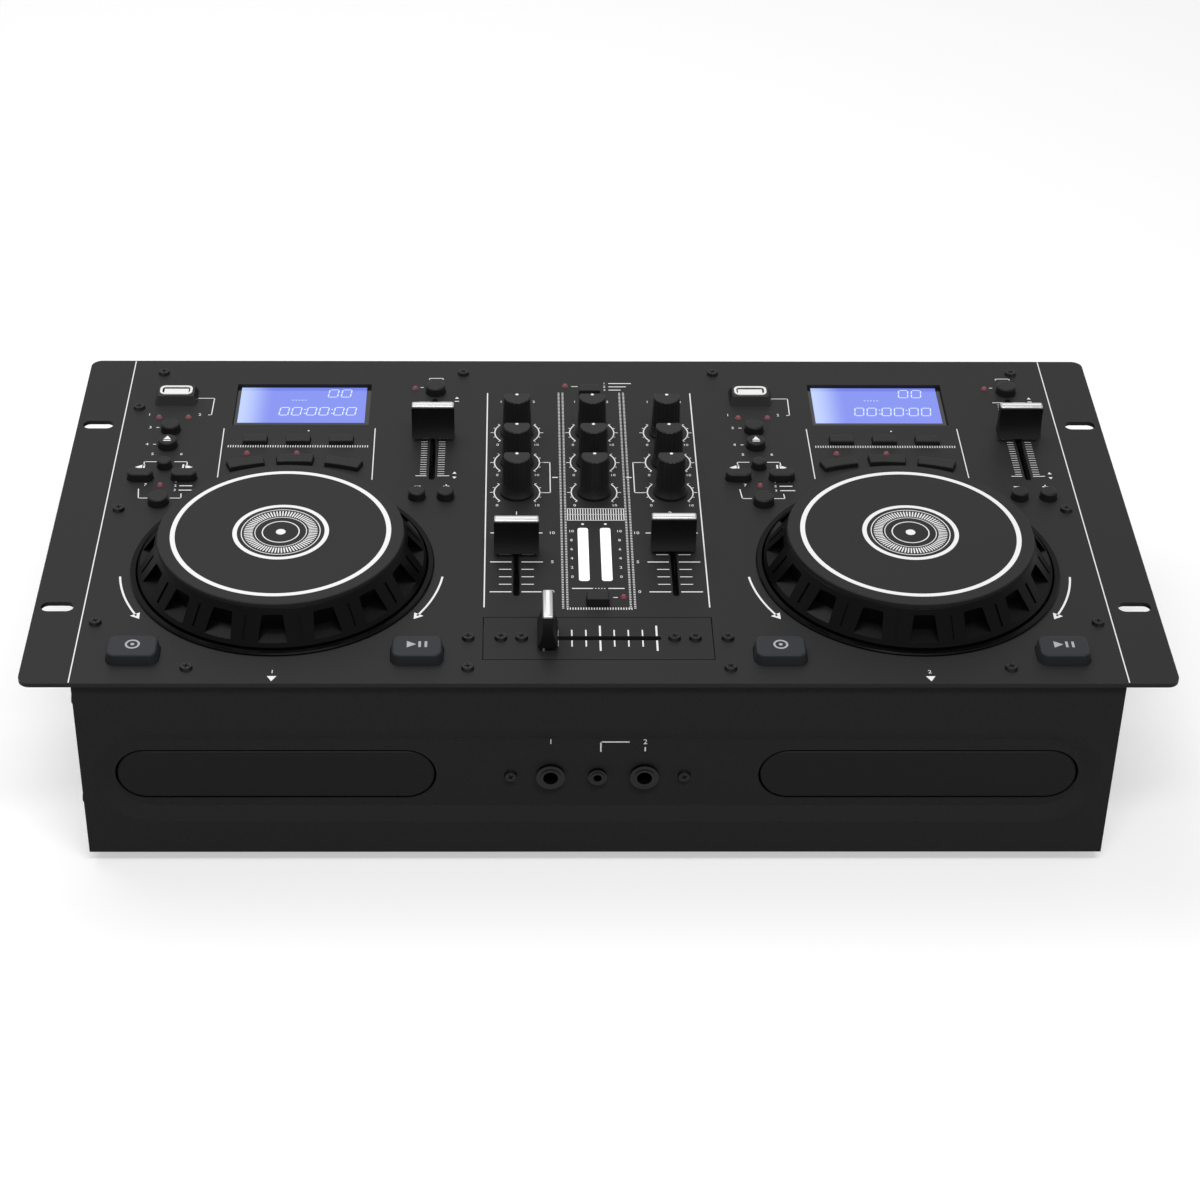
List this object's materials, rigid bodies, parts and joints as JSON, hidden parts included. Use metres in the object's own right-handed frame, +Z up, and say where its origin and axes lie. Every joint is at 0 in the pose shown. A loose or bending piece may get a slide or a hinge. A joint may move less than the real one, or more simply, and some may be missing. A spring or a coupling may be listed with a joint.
{
  "type": "two-deck disc player with mixer",
  "caption": "Rack-width disc player with two trays, jog wheels and displays, and a mixer with knobs and faders between the decks.",
  "frame": {"origin": "on the surface that the feet stand on, under the middle of the top panel", "axes": "+X to the user's right along the panel, +Y to the back (sockets), +Z up out of the panel"},
  "size_m": [0.4826, 0.2586, 0.1195],
  "materials": {
    "black_steel": "fine matte powder coat",
    "front_steel": "satin paint",
    "foot_rubber": "matte",
    "jog_plastic": "satin",
    "well_plastic": "matte",
    "display_window": "clear over a blue backlit panel",
    "key_plastic": "satin",
    "pad_plastic": "satin",
    "cap_plastic": "matte with a silver ridge",
    "knob_rubber": "soft matte",
    "lamp_plastic": "tinted",
    "socket_plastic": "gloss",
    "board_green": "solder mask",
    "fader_steel": "plated",
    "tray_plastic": "matte",
    "supply_metal": "plain",
    "screw_steel": "black",
    "rca_metal": "plated barrels on plastic blocks"
  },
  "bodies": {
    "base": {"top_panel": "black_steel", "chassis_tub": "black_steel", "front_panel": "front_steel", "feet": "foot_rubber", "jog_wells": "well_plastic", "display_modules": "display_window", "crossfader_plate": "black_steel", "indicator_lamps": "lamp_plastic", "usb_sockets": "socket_plastic", "control_boards": "board_green", "fader_bodies": "fader_steel", "disc_loaders": "tray_plastic", "front_sockets": "socket_plastic", "rear_sockets": "rca_metal", "power_inlet": "socket_plastic", "power_supply": "supply_metal", "panel_screws": "screw_steel"},
    "jog_wheel_left": {"jog_wheel_left": "jog_plastic"},
    "jog_wheel_right": {"jog_wheel_right": "jog_plastic"},
    "disc_tray_left": {"disc_tray_left": "tray_plastic"},
    "disc_tray_right": {"disc_tray_right": "tray_plastic"},
    "crossfader_cap": {"crossfader_cap": "cap_plastic"},
    "pitch_fader_cap_left": {"pitch_fader_cap_left": "cap_plastic"},
    "pitch_fader_cap_right": {"pitch_fader_cap_right": "cap_plastic"},
    "channel_fader_cap_left": {"channel_fader_cap_left": "cap_plastic"},
    "channel_fader_cap_right": {"channel_fader_cap_right": "cap_plastic"},
    "power_rocker": {"power_rocker": "socket_plastic"},
    "gain_knob_left": {"gain_knob_left": "knob_rubber"},
    "treble_knob_left": {"treble_knob_left": "knob_rubber"},
    "bass_knob_left": {"bass_knob_left": "knob_rubber"},
    "master_knob": {"master_knob": "knob_rubber"},
    "cue_mix_knob": {"cue_mix_knob": "knob_rubber"},
    "headphone_knob": {"headphone_knob": "knob_rubber"},
    "gain_knob_right": {"gain_knob_right": "knob_rubber"},
    "treble_knob_right": {"treble_knob_right": "knob_rubber"},
    "bass_knob_right": {"bass_knob_right": "knob_rubber"},
    "cue_button_left": {"cue_button_left": "pad_plastic"},
    "play_button_left": {"play_button_left": "pad_plastic"},
    "cue_button_right": {"cue_button_right": "pad_plastic"},
    "play_button_right": {"play_button_right": "pad_plastic"},
    "select_button_left": {"select_button_left": "key_plastic"},
    "eject_button_left": {"eject_button_left": "key_plastic"},
    "track_button_left": {"track_button_left": "key_plastic"},
    "jog_mode_button_left": {"jog_mode_button_left": "key_plastic"},
    "pitch_button_left": {"pitch_button_left": "key_plastic"},
    "pitch_bend_buttons_left": {"pitch_bend_buttons_left": "key_plastic"},
    "search_buttons_left": {"search_buttons_left": "key_plastic"},
    "display_keys_left": {"display_keys_left": "key_plastic"},
    "loop_keys_left": {"loop_keys_left": "key_plastic"},
    "select_button_right": {"select_button_right": "key_plastic"},
    "eject_button_right": {"eject_button_right": "key_plastic"},
    "track_button_right": {"track_button_right": "key_plastic"},
    "jog_mode_button_right": {"jog_mode_button_right": "key_plastic"},
    "pitch_button_right": {"pitch_button_right": "key_plastic"},
    "pitch_bend_buttons_right": {"pitch_bend_buttons_right": "key_plastic"},
    "search_buttons_right": {"search_buttons_right": "key_plastic"},
    "display_keys_right": {"display_keys_right": "key_plastic"},
    "loop_keys_right": {"loop_keys_right": "key_plastic"},
    "source_button": {"source_button": "key_plastic"},
    "relay_button": {"relay_button": "key_plastic"}
  },
  "joints": [
    {"name": "jog_turn_left", "type": "hinge", "parent": "base", "child": "jog_wheel_left", "pos_m": [-0.137, -0.0442, 0.1], "axis": [0, 0, 1], "continuous": true},
    {"name": "jog_turn_right", "type": "hinge", "parent": "base", "child": "jog_wheel_right", "pos_m": [0.137, -0.0442, 0.1], "axis": [0, 0, 1], "continuous": true},
    {"name": "tray_slide_left", "type": "slide", "parent": "base", "child": "disc_tray_left", "axis": [0, -1, 0], "range_m": [0, 0.135]},
    {"name": "tray_slide_right", "type": "slide", "parent": "base", "child": "disc_tray_right", "axis": [0, -1, 0], "range_m": [0, 0.135]},
    {"name": "crossfader_slide", "type": "slide", "parent": "base", "child": "crossfader_cap", "axis": [1, 0, 0], "range_m": [0, 0.045]},
    {"name": "pitch_fader_slide_left", "type": "slide", "parent": "base", "child": "pitch_fader_cap_left", "axis": [0, 1, 0], "range_m": [-0.0328, 0.0312]},
    {"name": "pitch_fader_slide_right", "type": "slide", "parent": "base", "child": "pitch_fader_cap_right", "axis": [0, 1, 0], "range_m": [-0.0328, 0.0312]},
    {"name": "channel_fader_slide_left", "type": "slide", "parent": "base", "child": "channel_fader_cap_left", "axis": [0, 1, 0], "range_m": [-0.0298, 0.0152]},
    {"name": "channel_fader_slide_right", "type": "slide", "parent": "base", "child": "channel_fader_cap_right", "axis": [0, 1, 0], "range_m": [-0.032, 0.013]},
    {"name": "power_rocker_tilt", "type": "hinge", "parent": "base", "child": "power_rocker", "pos_m": [0.134, 0.12025, 0.05], "axis": [1, 0, 0], "range_deg": [0, 12]},
    {"name": "gain_left_turn", "type": "hinge", "parent": "base", "child": "gain_knob_left", "pos_m": [-0.0344, 0.0642, 0.11], "axis": [0, 0, 1], "range_deg": [-150, 150]},
    {"name": "treble_left_turn", "type": "hinge", "parent": "base", "child": "treble_knob_left", "pos_m": [-0.0344, 0.0385, 0.11], "axis": [0, 0, 1], "range_deg": [-150, 150]},
    {"name": "bass_left_turn", "type": "hinge", "parent": "base", "child": "bass_knob_left", "pos_m": [-0.0344, 0.0136, 0.11], "axis": [0, 0, 1], "range_deg": [-150, 150]},
    {"name": "master_turn", "type": "hinge", "parent": "base", "child": "master_knob", "pos_m": [0.0007, 0.0642, 0.11], "axis": [0, 0, 1], "range_deg": [-150, 150]},
    {"name": "cue_mix_turn", "type": "hinge", "parent": "base", "child": "cue_mix_knob", "pos_m": [0.0007, 0.0385, 0.11], "axis": [0, 0, 1], "range_deg": [-150, 150]},
    {"name": "headphone_turn", "type": "hinge", "parent": "base", "child": "headphone_knob", "pos_m": [0.0007, 0.0136, 0.11], "axis": [0, 0, 1], "range_deg": [-150, 150]},
    {"name": "gain_right_turn", "type": "hinge", "parent": "base", "child": "gain_knob_right", "pos_m": [0.0354, 0.0642, 0.11], "axis": [0, 0, 1], "range_deg": [-150, 150]},
    {"name": "treble_right_turn", "type": "hinge", "parent": "base", "child": "treble_knob_right", "pos_m": [0.0354, 0.0385, 0.11], "axis": [0, 0, 1], "range_deg": [-150, 150]},
    {"name": "bass_right_turn", "type": "hinge", "parent": "base", "child": "bass_knob_right", "pos_m": [0.0354, 0.0136, 0.11], "axis": [0, 0, 1], "range_deg": [-150, 150]},
    {"name": "cue_button_left_press", "type": "slide", "parent": "base", "child": "cue_button_left", "axis": [0, 0, -1], "range_m": [0, 0.001], "stiffness_N_per_m": 2000},
    {"name": "play_button_left_press", "type": "slide", "parent": "base", "child": "play_button_left", "axis": [0, 0, -1], "range_m": [0, 0.001], "stiffness_N_per_m": 2000},
    {"name": "cue_button_right_press", "type": "slide", "parent": "base", "child": "cue_button_right", "axis": [0, 0, -1], "range_m": [0, 0.001], "stiffness_N_per_m": 2000},
    {"name": "play_button_right_press", "type": "slide", "parent": "base", "child": "play_button_right", "axis": [0, 0, -1], "range_m": [0, 0.001], "stiffness_N_per_m": 2000},
    {"name": "select_button_left_press", "type": "slide", "parent": "base", "child": "select_button_left", "axis": [0, 0, -1], "range_m": [0, 0.001], "stiffness_N_per_m": 1500},
    {"name": "eject_button_left_press", "type": "slide", "parent": "base", "child": "eject_button_left", "axis": [0, 0, -1], "range_m": [0, 0.001], "stiffness_N_per_m": 1500},
    {"name": "track_button_left_press", "type": "slide", "parent": "base", "child": "track_button_left", "axis": [0, 0, -1], "range_m": [0, 0.001], "stiffness_N_per_m": 1500},
    {"name": "jog_mode_button_left_press", "type": "slide", "parent": "base", "child": "jog_mode_button_left", "axis": [0, 0, -1], "range_m": [0, 0.001], "stiffness_N_per_m": 1500},
    {"name": "pitch_button_left_press", "type": "slide", "parent": "base", "child": "pitch_button_left", "axis": [0, 0, -1], "range_m": [0, 0.001], "stiffness_N_per_m": 1500},
    {"name": "pitch_bend_buttons_left_press", "type": "slide", "parent": "base", "child": "pitch_bend_buttons_left", "axis": [0, 0, -1], "range_m": [0, 0.001], "stiffness_N_per_m": 1500},
    {"name": "search_buttons_left_press", "type": "slide", "parent": "base", "child": "search_buttons_left", "axis": [0, 0, -1], "range_m": [0, 0.001], "stiffness_N_per_m": 1500},
    {"name": "display_keys_left_press", "type": "slide", "parent": "base", "child": "display_keys_left", "axis": [0, 0, -1], "range_m": [0, 0.001], "stiffness_N_per_m": 1500},
    {"name": "loop_keys_left_press", "type": "slide", "parent": "base", "child": "loop_keys_left", "axis": [0, 0, -1], "range_m": [0, 0.001], "stiffness_N_per_m": 1500},
    {"name": "select_button_right_press", "type": "slide", "parent": "base", "child": "select_button_right", "axis": [0, 0, -1], "range_m": [0, 0.001], "stiffness_N_per_m": 1500},
    {"name": "eject_button_right_press", "type": "slide", "parent": "base", "child": "eject_button_right", "axis": [0, 0, -1], "range_m": [0, 0.001], "stiffness_N_per_m": 1500},
    {"name": "track_button_right_press", "type": "slide", "parent": "base", "child": "track_button_right", "axis": [0, 0, -1], "range_m": [0, 0.001], "stiffness_N_per_m": 1500},
    {"name": "jog_mode_button_right_press", "type": "slide", "parent": "base", "child": "jog_mode_button_right", "axis": [0, 0, -1], "range_m": [0, 0.001], "stiffness_N_per_m": 1500},
    {"name": "pitch_button_right_press", "type": "slide", "parent": "base", "child": "pitch_button_right", "axis": [0, 0, -1], "range_m": [0, 0.001], "stiffness_N_per_m": 1500},
    {"name": "pitch_bend_buttons_right_press", "type": "slide", "parent": "base", "child": "pitch_bend_buttons_right", "axis": [0, 0, -1], "range_m": [0, 0.001], "stiffness_N_per_m": 1500},
    {"name": "search_buttons_right_press", "type": "slide", "parent": "base", "child": "search_buttons_right", "axis": [0, 0, -1], "range_m": [0, 0.001], "stiffness_N_per_m": 1500},
    {"name": "display_keys_right_press", "type": "slide", "parent": "base", "child": "display_keys_right", "axis": [0, 0, -1], "range_m": [0, 0.001], "stiffness_N_per_m": 1500},
    {"name": "loop_keys_right_press", "type": "slide", "parent": "base", "child": "loop_keys_right", "axis": [0, 0, -1], "range_m": [0, 0.001], "stiffness_N_per_m": 1500},
    {"name": "source_button_press", "type": "slide", "parent": "base", "child": "source_button", "axis": [0, 0, -1], "range_m": [0, 0.001], "stiffness_N_per_m": 1500},
    {"name": "relay_button_press", "type": "slide", "parent": "base", "child": "relay_button", "axis": [0, 0, -1], "range_m": [0, 0.001], "stiffness_N_per_m": 1500}
  ]
}
